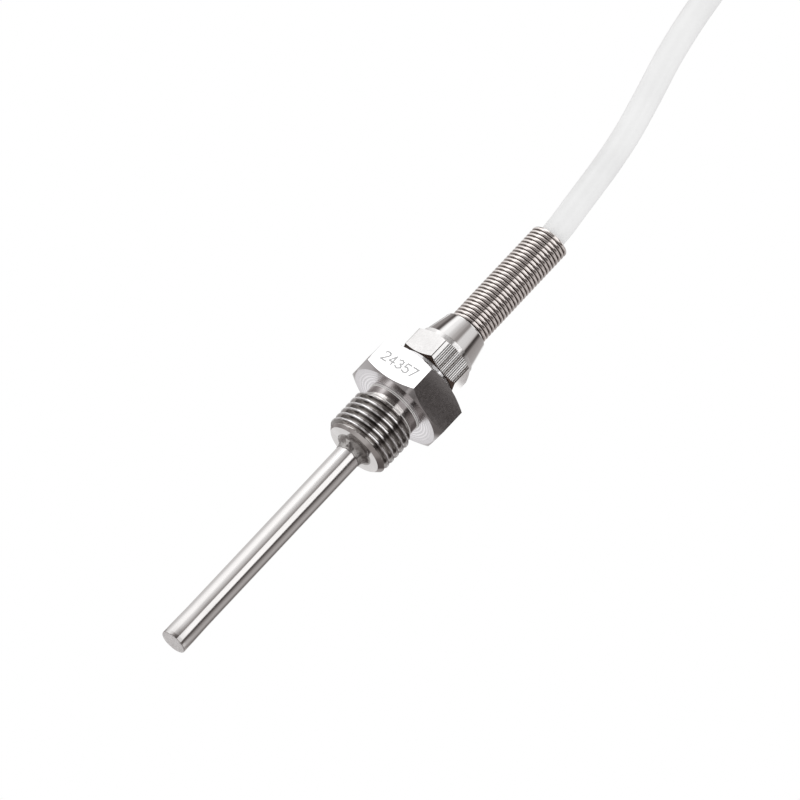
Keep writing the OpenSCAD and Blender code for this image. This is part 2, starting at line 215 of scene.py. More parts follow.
BEHIND = [
    (-180, 0.3), (-137, 0.3), (-116, 0.26), (-109, 0.12), (-97, 0.08), (-92, 0.4), (-84, 1.05), (-73, 1.18),
    (-63, 1.0), (-53, 0.96), (-48, 0.88), (-41, 0.72), (-30, 0.57), (-16, 0.4), (-7, 0.29), (1, 0.27),
    (11, 0.76), (33, 0.74), (47, 0.66), (52, 0.5), (59, 0.05), (68, 0.06), (73, 0.13), (82, 0.3),
    (108, 0.36), (133, 0.4), (150, 0.5), (180, 0.5),
]
BEHIND_SPRING = [
    (-180, 0.6), (-160, 1.0), (-150, 1.3), (-70, 1.4), (-58, 0.8), (-50, 0.2), (-20, 0.06), (-4, 0.06),
    (0, 1.3), (36, 1.3), (42, 0.03), (62, 0.03), (68, 0.8), (130, 0.9), (150, 0.8), (180, 0.6),
]
FAR_BEHIND = [(-180, 0.1), (180, 0.1)]
# Each stretch of the ring by distance along the axis, in metres, with its table
STRIPS = [
    (-STRIP_REACH, FAR_FRONT), (-0.38, FAR_FRONT), (-0.26, FRONT), (-0.07, FRONT), (-0.05, BEFORE_STEM),
    (0.042, BEFORE_STEM), (0.05, ALONG_STEM), (0.098, ALONG_STEM), (0.101, ALONG_THREAD),
    (0.1086, ALONG_THREAD), (0.1092, ALONG_HEX), (0.1168, ALONG_HEX), (0.1177, ALONG_COLLAR),
    (0.1197, ALONG_COLLAR), (0.1199, ALONG_NUT), (0.1246, ALONG_NUT), (0.125, ALONG_BAND),
    (0.1275, ALONG_BAND), (0.132, ALONG_SPRING), (0.158, ALONG_SPRING), (0.172, BEHIND), (0.36, BEHIND),
    (0.42, BEHIND_SPRING), (0.7, BEHIND_SPRING), (0.9, FAR_BEHIND), (STRIP_REACH, FAR_BEHIND),
]

# How far the dark parts of the room lean to brown: red goes up by this share, and blue down by a part of it
WARMTH = 0.14
BLUE_PART = 0.3


def strip_level(table, degrees):
    """The brightness of a table in that direction."""
    for (a, low), (b, high) in zip(table, table[1:]):
        if a <= degrees <= b:
            return low + (high - low) * (degrees - a) / (b - a)
    return table[0][1]


def node_material(name):
    """A new material with its node tree emptied."""
    material = bpy.data.materials.new(name)
    material.use_nodes = True
    material.node_tree.nodes.clear()
    return material, material.node_tree.nodes, material.node_tree.links


def white_world():
    """An even white world, which lights everything but what the metal reflects."""
    world = bpy.data.worlds.new("studio")
    scene.world = world
    world.use_nodes = True
    background = world.node_tree.nodes["Background"]
    background.inputs["Color"].default_value = (1, 1, 1, 1)
    background.inputs["Strength"].default_value = 1


def strip_glow():
    """A material that glows with the levels of the strips."""
    material, nodes, links = node_material("strip_glow")
    level = nodes.new("ShaderNodeVertexColor")
    level.layer_name = "glow"
    glow = nodes.new("ShaderNodeEmission")
    out = nodes.new("ShaderNodeOutputMaterial")
    links.new(level.outputs["Color"], glow.inputs["Color"])
    links.new(glow.outputs["Emission"], out.inputs["Surface"])
    return material


def strip_ring():
    """The ring of strips that the metal reflects. The camera doesn't see it, nor do matt surfaces."""
    verts, levels, faces = [], [], []
    for x, table in STRIPS:
        for k in range(STRIP_STEPS):
            angle = TAU * k / STRIP_STEPS - math.pi
            verts.append(x * axis + STRIP_RADIUS * (math.cos(angle) * facing + math.sin(angle) * beside))
            levels.append(strip_level(table, math.degrees(angle)))
    for row in range(len(STRIPS) - 1):
        for k in range(STRIP_STEPS):
            a, b = row * STRIP_STEPS + k, row * STRIP_STEPS + (k + 1) % STRIP_STEPS
            faces.append((a, b, b + STRIP_STEPS, a + STRIP_STEPS))
    front_disc = tuple(range(STRIP_STEPS))
    faces.append(front_disc)
    mesh = bpy.data.meshes.new("strips")
    mesh.from_pydata(verts, [], faces)
    colours = mesh.color_attributes.new("glow", "FLOAT_COLOR", "POINT")
    for item, value in zip(colours.data, levels):
        warmth = WARMTH * max(1 - value, 0) ** 2
        item.color = (value * (1 + warmth), value, value * (1 - BLUE_PART * warmth), 1)
    mesh.materials.append(strip_glow())
    strips = bpy.data.objects.new("strips", mesh)
    scene.collection.objects.link(strips)
    strips.visible_camera = False
    strips.visible_diffuse = False


white_world()
strip_ring()


# ---- Materials ----

NOISE_LOW, NOISE_HIGH = 0.3, 0.7    # the stretch of the noise that is used
NOISE_DETAIL = 3
# How metallic, scale of the colour's noise as a part of the fine one's, and strength of the bump
METAL = (1.0, 0.12, 0.5)
PLASTIC = (0.0, 0.1, 0.4)
# Turning rings: how far apart and how deep they are, how strong, and how uneven
RING_PERIOD = 0.6 * MM
RING_DEPTH = 0.02 * MM
RING_BUMP = 0.6
RING_DISTORTION, RING_DETAIL, RING_DETAIL_SCALE = 3, 1, 0.3
WAVE_UNITS = 20    # Blender's wave texture goes through this many radians in a unit of its scale


def principled(name, colour, metallic, roughness):
    """A material with a Principled shader. Returns it with its nodes, links and shader."""
    material, nodes, links = node_material(name)
    shader = nodes.new("ShaderNodeBsdfPrincipled")
    out = nodes.new("ShaderNodeOutputMaterial")
    links.new(shader.outputs["BSDF"], out.inputs["Surface"])
    shader.inputs["Base Color"].default_value = (*colour, 1)
    shader.inputs["Metallic"].default_value = metallic
    shader.inputs["Roughness"].default_value = roughness
    return material, nodes, links, shader


def grain(nodes, links, scale, stretch=(1, 1, 1)):
    """Fine noise in the object's own frame, stretched along an axis by a small factor there."""
    position = nodes.new("ShaderNodeTexCoord").outputs["Object"]
    mapping = nodes.new("ShaderNodeMapping")
    mapping.inputs["Scale"].default_value = stretch
    texture = nodes.new("ShaderNodeTexNoise")
    texture.inputs["Scale"].default_value = scale
    texture.inputs["Detail"].default_value = NOISE_DETAIL
    links.new(position, mapping.inputs["Vector"])
    links.new(mapping.outputs["Vector"], texture.inputs["Vector"])
    return texture.outputs["Fac"]


def spread(nodes, links, source, low, high):
    """A value from low to high, as the source goes over the used stretch of the noise."""
    ranger = nodes.new("ShaderNodeMapRange")
    ranger.inputs["From Min"].default_value = NOISE_LOW
    ranger.inputs["From Max"].default_value = NOISE_HIGH
    ranger.inputs["To Min"].default_value = low
    ranger.inputs["To Max"].default_value = high
    links.new(source, ranger.inputs["Value"])
    return ranger.outputs["Result"]


def blend_colours(nodes, links, factor, first, second):
    """A colour between first and second, by factor."""
    mixer = nodes.new("ShaderNodeMix")
    mixer.data_type = "RGBA"
    mixer.inputs["A"].default_value = (*first, 1)
    mixer.inputs["B"].default_value = (*second, 1)
    links.new(factor, mixer.inputs["Factor"])
    return mixer.outputs["Result"]


def bump(nodes, links, shader, height, strength, distance):
    """Adds a bump of some strength and distance in metres to the shader."""
    node = nodes.new("ShaderNodeBump")
    node.inputs["Strength"].default_value = strength
    node.inputs["Distance"].default_value = distance
    links.new(height, node.inputs["Height"])
    links.new(node.outputs["Normal"], shader.inputs["Normal"])


def surface(kind, name, dark, light, rough_low, rough_high, scale, relief, stretch=(1, 1, 1)):
    """A material whose colour, gloss and surface vary with fine grain. The relief is in millimetres."""
    metallic, broad_part, bump_strength = kind
    material, nodes, links, shader = principled(name, light, metallic, rough_low)
    fine = grain(nodes, links, scale, stretch)
    broad = grain(nodes, links, scale * broad_part, stretch)
    links.new(spread(nodes, links, fine, rough_low, rough_high), shader.inputs["Roughness"])
    tint = spread(nodes, links, broad, 0, 1)
    links.new(blend_colours(nodes, links, tint, dark, light), shader.inputs["Base Color"])
    bump(nodes, links, shader, fine, bump_strength, relief * MM)
    return material


def metal(*look):
    """A metal: its name, dark and light colour, low and high roughness, scale, relief and stretch."""
    return surface(METAL, *look)


def plastic(*look):
    """A non-metal, with the same values as a metal."""
    return surface(PLASTIC, *look)


def radius_fade(nodes, links, position, inner, outer):
    """A value that falls from 1 at the inner radius about the axis to 0 at the outer one, in millimetres."""
    flatten = nodes.new("ShaderNodeVectorMath")
    flatten.operation = "MULTIPLY"
    flatten.inputs[1].default_value = (0, 1, 1)
    links.new(position, flatten.inputs[0])
    distance = nodes.new("ShaderNodeVectorMath")
    distance.operation = "LENGTH"
    links.new(flatten.outputs["Vector"], distance.inputs[0])
    fade = nodes.new("ShaderNodeMapRange")
    fade.inputs["From Min"].default_value = inner * MM
    fade.inputs["From Max"].default_value = outer * MM
    fade.inputs["To Min"].default_value = 1
    fade.inputs["To Max"].default_value = 0
    links.new(distance.outputs["Value"], fade.inputs["Value"])
    return fade.outputs["Result"]


def turned_metal(name, plain, light, rough_low, rough_high, scale, inner, outer):
    """A faced metal with turning rings about the axis that fade from the inner to the outer radius."""
    material, nodes, links, shader = principled(name, light, METAL[0], rough_low)
    fine = grain(nodes, links, scale)
    links.new(spread(nodes, links, fine, rough_low, rough_high), shader.inputs["Roughness"])
    position = nodes.new("ShaderNodeTexCoord").outputs["Object"]
    wave = nodes.new("ShaderNodeTexWave")
    wave.wave_type = "RINGS"
    wave.rings_direction = "X"
    wave.inputs["Scale"].default_value = TAU / (WAVE_UNITS * RING_PERIOD)
    wave.inputs["Distortion"].default_value = RING_DISTORTION
    wave.inputs["Detail"].default_value = RING_DETAIL
    wave.inputs["Detail Scale"].default_value = RING_DETAIL_SCALE
    links.new(position, wave.inputs["Vector"])
    rings = nodes.new("ShaderNodeMath")
    rings.operation = "MULTIPLY"
    links.new(wave.outputs["Fac"], rings.inputs[0])
    links.new(radius_fade(nodes, links, position, inner, outer), rings.inputs[1])
    links.new(blend_colours(nodes, links, rings.outputs["Value"], plain, light), shader.inputs["Base Color"])
    bump(nodes, links, shader, rings.outputs["Value"], RING_BUMP, RING_DEPTH)
    return material


STEEL = (0.857, 0.837, 0.832)
STEEL_DARK = (0.745, 0.725, 0.715)

sheath_steel = metal("sheath_steel", STEEL_DARK, STEEL, 0.07, 0.15, 2600, 0.004, (0.06, 1, 1))
cap_steel = metal("cap_steel", (0.76, 0.735, 0.73), (0.92, 0.895, 0.89), 0.38, 0.5, 1800, 0.02)
# The thread has three steels: its crests are as bright as the hexagon, its roots and flanks are darkened
# with painted shade, and its first turn and the relief groove are between
hex_steel = metal("hex_steel", (0.81, 0.80, 0.81), (0.84, 0.83, 0.84), 0.05, 0.08, 1800, 0.001)
root_painted_shade = metal(
    "root_painted_shade", (0.285, 0.27, 0.26), (0.425, 0.405, 0.39), 0.06, 0.14, 1500, 0.004, (3, 1, 1))
thread_steel = metal(
    "thread_steel", (0.56, 0.535, 0.525), (0.735, 0.705, 0.69), 0.05, 0.12, 1500, 0.004, (3, 1, 1))
nut_steel = metal("nut_steel", (0.85, 0.835, 0.83), (0.885, 0.87, 0.862), 0.06, 0.09, 1800, 0.001)
# Painted shade for the nut's grooves and for its front face
nut_painted_shade = metal("nut_painted_shade", (0.06, 0.045, 0.035), (0.14, 0.10, 0.08), 0.3, 0.45, 1500, 0.002)
# The wire is bright, and painted shade darkens it where it faces the next turn
wire_steel = metal("wire_steel", (0.93, 0.865, 0.835), (1.0, 0.94, 0.91), 0.06, 0.1, 1600, 0.001)
gap_painted_shade = metal("gap_painted_shade", (0.17, 0.14, 0.12), (0.27, 0.23, 0.21), 0.25, 0.35, 1600, 0.002)
weld_metal = metal("weld_metal", (0.31, 0.295, 0.285), (0.60, 0.58, 0.565), 0.2, 0.34, 900, 0.008)
faced_steel = turned_metal("faced_steel", (0.77, 0.75, 0.77), (1.0, 0.98, 1.0), 0.14, 0.24, 500, 7.2, 8.8)
washer_steel = metal("washer_steel", (0.6, 0.6, 0.6), (0.7, 0.7, 0.7), 0.25, 0.35, 1500, 0)
crimp_metal = metal(
    "crimp_metal", (0.70, 0.70, 0.70), (0.80, 0.80, 0.80), 0.2, 0.32, 1500, 0.008, (0.3, 1, 1))

silicone = plastic("silicone", (0.80, 0.80, 0.80), (0.87, 0.87, 0.87), 0.32, 0.45, 700, 0.02)
boot_black = plastic("boot_black", (0.02, 0.02, 0.021), (0.035, 0.035, 0.037), 0.4, 0.55, 900, 0.03)
strap_black = plastic("strap_black", (0.018, 0.018, 0.019), (0.03, 0.03, 0.031), 0.35, 0.5, 1100, 0.02)
core_red = plastic("core_red", (0.42, 0.02, 0.018), (0.55, 0.03, 0.025), 0.35, 0.45, 1100, 0.01)
core_white = plastic("core_white", (0.70, 0.70, 0.69), (0.8, 0.8, 0.79), 0.35, 0.45, 1100, 0.01)
ceramic = plastic("ceramic", (0.80, 0.79, 0.76), (0.86, 0.85, 0.83), 0.45, 0.6, 1500, 0.01)
glass_sleeve = plastic("glass_sleeve", (0.55, 0.53, 0.47), (0.68, 0.66, 0.60), 0.6, 0.75, 2200, 0.04)
epoxy = plastic("epoxy", (0.03, 0.035, 0.04), (0.05, 0.055, 0.06), 0.25, 0.35, 600, 0.01)
rubber = plastic("rubber", (0.03, 0.03, 0.03), (0.05, 0.05, 0.05), 0.55, 0.7, 1500, 0.03)
mark_grey = plastic("mark_grey", (0.42, 0.42, 0.42), (0.50, 0.50, 0.50), 0.5, 0.6, 3000, 0.01)
# The rolled edges in the relief groove get a painted highlight: they look bright from every side, so they
# are shaded as a non-metal
ridge_painted_highlight = plastic("ridge_painted_highlight", (0.60, 0.585, 0.575), (0.80, 0.785, 0.775), 0.2, 0.3, 1500, 0.004)


# ---- Shapes that repeat ----

LATHE_SIDES = 144
DISC_SIDES = 96
AXIS_RADIUS = 1e-4    # stands for the axis in an outline, so that its ring keeps all its points
HEX_STEP = TAU / 6
RIM = 0.05            # of a flat face, inside its rounding or chamfer


def place(obj, body, slot, *nodes):
    """Puts a new object in the scene, on its body and in place of the CAD nodes named. The slot is not used.
    """
    scene.collection.objects.link(obj)
    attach(obj, body)
    if nodes:
        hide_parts(*nodes)


def solid(name, verts, faces, material, sharp=28):
    """A closed mesh from points in millimetres, smooth except over edges sharper than the angle."""
    mesh = bpy.data.meshes.new(name)
    mesh.from_pydata([Vector(v) * MM for v in verts], [], faces)
    form = bmesh.new()
    form.from_mesh(mesh)
    bmesh.ops.recalc_face_normals(form, faces=form.faces)
    form.to_mesh(mesh)
    form.free()
    mesh.shade_smooth()
    mesh.set_sharp_from_angle(angle=math.radians(sharp))
    mesh.materials.append(material)
    return bpy.data.objects.new(name, mesh)


def paint(obj, looks, look_of):
    """Adds looks to the object's first one, and gives each face the look that look_of says."""
    for look in looks:
        obj.data.materials.append(look)
    names = [look.name for look in obj.data.materials]
    for face in obj.data.polygons:
        face.material_index = names.index(look_of(face).name)


def from_axis(face):
    """How far the middle of a face is from the axis, in millimetres."""
    return math.hypot(face.center.y, face.center.z) / MM


def join_rings(rings, closed=True):
    """Points and faces of rings of equal counts. The last joins the first, or both ends get a face."""
    count = len(rings[0])
    verts = [p for row in rings for p in row]
    faces = []
    for i in range(len(rings) if closed else len(rings) - 1):
        j = (i + 1) % len(rings)
        for k in range(count):
            n = (k + 1) % count
            faces.append((i * count + k, i * count + n, j * count + n, j * count + k))
    if not closed:
        faces.append(tuple(range(count)))
        faces.append(tuple(range(len(verts) - count, len(verts))))
    return verts, faces


def add_block(verts, faces, layers):
    """Adds a closed block to points and faces: layers of four corners, one over the other."""
    first = len(verts)
    corners, sides = join_rings(layers, closed=False)
    verts += corners
    faces += [tuple(first + k for k in side) for side in sides]


def even_angles(count):
    """Angles all round the axis, in equal steps."""
    return [TAU * k / count for k in range(count)]


def quarter_turn(steps):
    """Angles from 0 to a right angle, in equal steps."""
    return [math.pi / 2 * i / steps for i in range(steps + 1)]


def ring(x, radius, angles):
    """A ring about the axis. x and radius are numbers or functions of the angle."""
    at = x if callable(x) else lambda a: x
    out = radius if callable(radius) else lambda a: radius
    return [(at(a), out(a) * math.cos(a), out(a) * math.sin(a)) for a in angles]


def lathe(name, profile, material):
    """A solid of revolution from a closed outline of (x, radius)."""
    angles = even_angles(LATHE_SIDES)
    verts, faces = join_rings([ring(x, r, angles) for x, r in profile])
    return solid(name, verts, faces, material)


def disc_lathe(name, profile, material):
    """A solid of revolution whose outline starts and ends on the axis."""
    angles = even_angles(DISC_SIDES)
    rings = [ring(x, max(r, AXIS_RADIUS), angles) for x, r in profile]
    verts, faces = join_rings(rings, closed=False)
    return solid(name, verts, faces, material)


def ease(t):
    """From 0 to 1, level at both ends."""
    t = min(max(t, 0.0), 1.0)
    return t * t * (3 - 2 * t)


def hexagon_radius(flat, turned_by):
    """The outline of a hexagon as a radius by angle. One flat faces turned_by."""
    def radius(angle):
        off = (angle - turned_by + HEX_STEP / 2) % HEX_STEP - HEX_STEP / 2
        return flat / math.cos(off)
    return radius


# ---- Stem ----

TAPER_START = 1.0     # behind the cap
TAPER_STEPS = 8
REAR_STRETCH = 20.0   # of the sheath, before the fitting
CAP_EDGE_R = 0.14
CAP_FACE = [(0.03, 0), (0.02, 0.5), (0, 0.9), (0, 1.9)]    # depth and radius: a shallow dimple
CAP_PLUG = 1.2        # how far the cap reaches into the tube
CAP_SIDE = 0.6        # a face with less of its normal along the axis is a side of the cap


def cap_look(face):
    """Blasted on the end, and polished round the side."""
    return sheath_steel if abs(face.normal.x) < CAP_SIDE else cap_steel


def stem():
    """The sheath with its swollen tip, and the cap that closes it."""
    tube_end = TIP_END + CAP_THICKNESS
    taper = []
    for i in range(TAPER_STEPS + 1):
        share = i / TAPER_STEPS
        x = tube_end + TAPER_START + TIP_TAPER * share
        taper.append((x, SHEATH_R + (TIP_R - SHEATH_R) * (1 - ease(share))))
    sheath = lathe("sheath", [
        (tube_end, SHEATH_BORE_R), (tube_end, TIP_R), *taper, (NIPPLE_FRONT - REAR_STRETCH, SHEATH_R),
        (NIPPLE_FRONT, SHEATH_R), (SHEATH_REAR, SHEATH_R), (SHEATH_REAR, SHEATH_BORE_R),
    ], sheath_steel)
    place(sheath, "root", "stainless_sheath", "probe_sheath")

    cap = disc_lathe("sheath_end", [
        *[(TIP_END + depth, radius) for depth, radius in CAP_FACE],
        (TIP_END, TIP_R - CAP_EDGE_R - RIM),
        *[(TIP_END + CAP_EDGE_R * (1 - math.cos(a)), TIP_R - CAP_EDGE_R * (1 - math.sin(a)))
          for a in quarter_turn(6)],
        (tube_end, TIP_R), (tube_end, SHEATH_BORE_R - SLIP),
        (tube_end + CAP_PLUG, SHEATH_BORE_R - SLIP), (tube_end + CAP_PLUG, 0),
    ], cap_steel)
    paint(cap, [sheath_steel], cap_look)
    place(cap, "root", "stainless_cap", "tip_cap")


# ---- Weld ----

WELD_SIDES = 120
WELD_STEPS = 18
WELD_INNER = SHEATH_R + SLIP
WELD_TOE = 0.05        # the fillet's thickness where it ends on the sheath
WELD_LEAST = 0.01      # its thickness is never less than this
TOE_LAP = 0.03         # the toe's edge lies this far in front of the fillet's last ring
WELD_SHARP = 60
WELD_SQUEEZE = 0.8     # makes the lumps longer along the axis
WELD_LUMPS = ((1.3, 0.16), (4, 0.06))    # scale and height of the broad noise and of the fine one
WAVE_SCALE, WAVE_REACH = 1.1, 0.25       # of the toe's wavy line
WAVE_OFFSET = Vector((7, 0, 0))          # another part of the noise than the lumps' one
# The weld spills over the fitting's face by the least amount, and by more in part of the way round
SPILL_LEAST, SPILL_MORE, SPILL_SHARE = 0.12, 0.45, 0.25
SPILL_SCALE, SPILL_PLACE = 1.1, 3


def weld_point(around, down):
    """A point of the weld's uneven fillet, around the axis and down its face to the sheath."""
    x = NIPPLE_FRONT - WELD_HEIGHT * (1 - math.cos(down))
    radius = WELD_R - (WELD_R - WELD_INNER - WELD_TOE) * math.sin(down)
    y, z = math.cos(around), math.sin(around)
    here = Vector((x * WELD_SQUEEZE, radius * y, radius * z))
    lump = sum(noise.noise(here * scale) * height for scale, height in WELD_LUMPS)
    rim = Vector((SPILL_PLACE, SPILL_SCALE * y, SPILL_SCALE * z))
    spill = SPILL_LEAST + SPILL_MORE * max(0, noise.noise(rim) + SPILL_SHARE)
    radius += lump * math.sin(2 * down) + spill * math.cos(down) ** 2
    radius = max(WELD_INNER + WELD_LEAST, radius)
    x += noise.noise(here * WAVE_SCALE + WAVE_OFFSET) * WAVE_REACH * math.sin(down)
    return (min(x, NIPPLE_FRONT), radius * y, radius * z)


def weld():
    """A fillet of weld metal with an uneven toe and surface."""
    angles = even_angles(WELD_SIDES)
    rings = [[weld_point(around, down) for around in angles] for down in quarter_turn(WELD_STEPS)]
    toe = [
        (p[0] - TOE_LAP, WELD_INNER * math.cos(a), WELD_INNER * math.sin(a))
        for p, a in zip(rings[-1], angles)
    ]
    verts, faces = join_rings([*rings, toe, ring(NIPPLE_FRONT, WELD_INNER, angles)])
    place(solid("weld", verts, faces, weld_metal, WELD_SHARP), "root", "weld_metal", "weld_bead")


# ---- Process fitting ----

FITTING_SIDES = 180
THREAD_STEPS = 150
FLANK_ANGLE = math.radians(27.5)
CREST_ROUNDING = 0.6      # 0 for straight flanks, 1 for waves
RUNOUT_SLOPE = 1.6
RIDGES = (-2.25, -0.3)    # the rolled edges across the relief groove
RIDGE_HEIGHT = 0.1
RIDGE_PROFILE = ((-0.1, 0), (-0.04, RIDGE_HEIGHT), (0.04, RIDGE_HEIGHT), (0.1, 0))
EDGE = 0.1                # broken edges and root fillets
REAR_EDGE = 0.2
FACE_NORMAL = 0.99        # a face with more of its normal along the axis is turned flat
FITTING_SHARP = 26
# Limits along the axis and in radius that part the fitting's faces by look
SEAT_X = -0.02
FULL_THREAD_X = (NIPPLE_FRONT + 0.9, -RELIEF_WIDTH - 0.3)
RIDGE_RADII = (RELIEF_R + 0.04, RELIEF_R + 0.15)
ROOT_TOP_R = THREAD_R - THREAD_DEPTH - 0.05
CREST_TOP_R = THREAD_R - CREST_DEPTH


def thread_radius(x, angle):
    """Radius of the right-hand thread's surface, with its chamfered first turn and its run-out."""
    turns = x / THREAD_PITCH - angle / TAU
    rise = 1 - abs(2 * (turns % 1) - 1)
    flank_run = 2 * THREAD_DEPTH * math.tan(FLANK_ANGLE) / THREAD_PITCH
    share = (rise - (1 - flank_run) / 2) / flank_run
    share = min(max(share, 0), 1)
    share += CREST_ROUNDING * (ease(share) - share)
    radius = THREAD_R - THREAD_DEPTH * (1 - share)
    lead = THREAD_R - LEAD_CHAMFER + (x - NIPPLE_FRONT)
    runout = RELIEF_R + RUNOUT_SLOPE * max(-RELIEF_WIDTH - x, 0)
    return min(radius, lead, runout)


def thread_stations():
    """The thread as (x, radius by angle), from the nipple's front to the relief groove."""
    stations = []
    for i in range(THREAD_STEPS + 1):
        x = NIPPLE_FRONT + (-RELIEF_WIDTH - NIPPLE_FRONT) * i / THREAD_STEPS
        stations.append((x, lambda angle, x=x: thread_radius(x, angle)))
    return stations


def fitting_look(face):
    """Bright hexagon and crests, painted shade in the roots and on the flanks, rings on the seat, and a
    painted highlight on the rolled ridges in the relief groove.
    """
    x, radius = face.center.x / MM, from_axis(face)
    before_seat = x < SEAT_X
    if abs(face.normal.x) > FACE_NORMAL:
        return sheath_steel if before_seat else faced_steel
    # painted highlight on the rolled edges
    if -RELIEF_WIDTH < x and RIDGE_RADII[0] < radius < RIDGE_RADII[1]:
        return ridge_painted_highlight
    full_thread = FULL_THREAD_X[0] < x < FULL_THREAD_X[1]
    if not before_seat or full_thread and radius > CREST_TOP_R:
        return hex_steel
    # painted shade on the thread's roots and flanks
    if full_thread and radius > ROOT_TOP_R:
        return root_painted_shade
    return thread_steel


def fitting():
    """The process fitting: thread, relief groove, hexagon, collar and spigot, round the sheath's bore."""
    angles = even_angles(FITTING_SIDES)
    hexagon = hexagon_radius(HEX_FLAT, math.pi / 2)

    def chamfer(angle):
        return (hexagon(angle) - HEX_FACE_R) * CHAMFER

    stations = [
        (NIPPLE_FRONT, SHEATH_R + SLIP), (NIPPLE_FRONT, THREAD_R - LEAD_CHAMFER - RIM),
        *thread_stations(),
        *[(x + shift, RELIEF_R + lift) for x in RIDGES for shift, lift in RIDGE_PROFILE],
        (-EDGE, RELIEF_R), (0, RELIEF_R + EDGE), (0, HEX_FACE_R),
        (chamfer, hexagon), (lambda angle: HEX_HEIGHT - chamfer(angle), hexagon), (HEX_HEIGHT, HEX_FACE_R),
        (HEX_HEIGHT, COLLAR_R + EDGE), (HEX_HEIGHT + EDGE, COLLAR_R), (COLLAR_REAR - REAR_EDGE, COLLAR_R),
        (COLLAR_REAR, COLLAR_R - REAR_EDGE), (COLLAR_REAR, SPIGOT_R), (SPIGOT_REAR - REAR_EDGE, SPIGOT_R),
        (SPIGOT_REAR, SPIGOT_R - REAR_EDGE), (SPIGOT_REAR, CAVITY_R),
        (SEAL_FLOOR, CAVITY_R), (SEAL_FLOOR, SHEATH_R + SLIP),
    ]
    verts, faces = join_rings([ring(x, radius, angles) for x, radius in stations])
    body = solid("fitting", verts, faces, hex_steel, FITTING_SHARP)
    paint(body, [thread_steel, faced_steel, root_painted_shade, sheath_steel, ridge_painted_highlight], fitting_look)
    place(body, "root", "turned_stainless", "process_fitting")


# ---- Number etched in the hexagon's top flat ----

MARK_NUMBER = "24357"
MARK_MIDDLE = 3.5
DIGIT_HEIGHT = 1.9
DIGIT_PITCH = 1.58
DIGIT_GAP = 0.4
STROKE_HALF = 0.16
STROKE_END = 0.8 * STROKE_HALF
MARK_DEPTH = 0.02
MARK_PROUD = 0.004
STROKE_STEP = 0.001    # each stroke of a digit is this much higher, so that no two tops meet

# Each digit as a line of points, in a cell one unit high
DIGITS = {
    "2": [(0, 0.8), (0.1, 0.95), (0.3, 1), (0.5, 0.95), (0.6, 0.78), (0.5, 0.55), (0, 0), (0.6, 0)],
    "3": [
        (0, 0.88), (0.28, 1), (0.52, 0.88), (0.54, 0.66), (0.3, 0.54), (0.55, 0.4), (0.6, 0.2),
        (0.3, 0), (0, 0.12),
    ],
    "4": [(0.62, 0.3), (0, 0.3), (0.42, 1), (0.42, 0)],
    "5": [(0.55, 1), (0.1, 1), (0.05, 0.55), (0.35, 0.62), (0.6, 0.4), (0.55, 0.12), (0.3, 0), (0, 0.1)],
    "7": [(0, 1), (0.6, 1), (0.2, 0)],
}


def stroke_layers(a, b, proud):
    """A flat bar from a to b on the hexagon, a little longer than the stroke at both ends."""
    run = (b - a).normalized() * STROKE_END
    side = Vector((-run.y, run.x, 0)).normalized() * STROKE_HALF
    corners = (a - run - side, b + run - side, b + run + side, a - run + side)
    return [[corner + Vector((0, 0, z)) for corner in corners] for z in (-MARK_DEPTH, proud)]


def mark():
    """A plain number with its top to the cable: a flat bar for each stroke."""
    verts, faces = [], []
    width = len(MARK_NUMBER) * DIGIT_PITCH - DIGIT_GAP
    for i, digit in enumerate(MARK_NUMBER):
        start = width / 2 - i * DIGIT_PITCH
        points = [
            Vector((MARK_MIDDLE + (v - 0.5) * DIGIT_HEIGHT, start - u * DIGIT_HEIGHT, HEX_FLAT))
            for u, v in DIGITS[digit]
        ]
        for stroke, (a, b) in enumerate(zip(points, points[1:])):
            add_block(verts, faces, stroke_layers(a, b, MARK_PROUD + STROKE_STEP * stroke))
    place(solid("mark", verts, faces, mark_grey), "root", None)


# ---- Spring nut ----

NUT_SEED = 5
NUT_SIDE_HALF = NUT_FLAT * math.tan(HEX_STEP / 2)
NUT_FIRST_FACE = 120      # degrees, before the nut's own turn
CORNER_REACH = 0.1044     # the corner's rounding along a face
CORNER_DROP = 0.02
PLAIN_POINTS = 7          # across half of a face without grooves
GROOVE_FLOOR_HALF = 0.02
NUT_INSET = 0.05          # the chamfer starts this far inside the faces
NUT_EDGE = 0.001          # between the chamfer and a side
BAND_FRONT_EDGE = 0.02
BAND_REAR_EDGE = ((-0.06, 0), (0, 0.1), (0.02, 0.15))    # as past the band's end, and inward
SPRING_SEAT = 13.65       # where the nut's bore narrows to the spring's
# Limits for the faces' looks: on the hexagon, along it, facing front, and degrees off the side's own way
HEXAGON_LEAST_R = BAND_R + 0.03
ALONG_NORMAL = 0.1
FRONT_NORMAL = -0.5
GROOVE_TURN = 20
NUT_SHARP = 26


def grooves(rng):
    """Fine grooves of uneven depth and place over a side of the nut, as (across, out)."""
    count = int((2 * NUT_SIDE_HALF - 2 * GROOVE_MARGIN) / GROOVE_PITCH)
    points = []
    for g in range(count + 1):
        floor = NUT_FLAT - GROOVE_DEPTH * rng.uniform(0.9, 1.1)
        crest = rng.uniform(0.01, 0.085)
        shift = rng.uniform(-0.008, 0.008)
        left = (g - count / 2) * GROOVE_PITCH
        middle = left + GROOVE_PITCH / 2 + shift
        points += [
            (left + crest, NUT_FLAT), (middle - GROOVE_FLOOR_HALF, floor),
            (middle + GROOVE_FLOOR_HALF, floor), (left + GROOVE_PITCH - crest, NUT_FLAT),
        ]
    return points


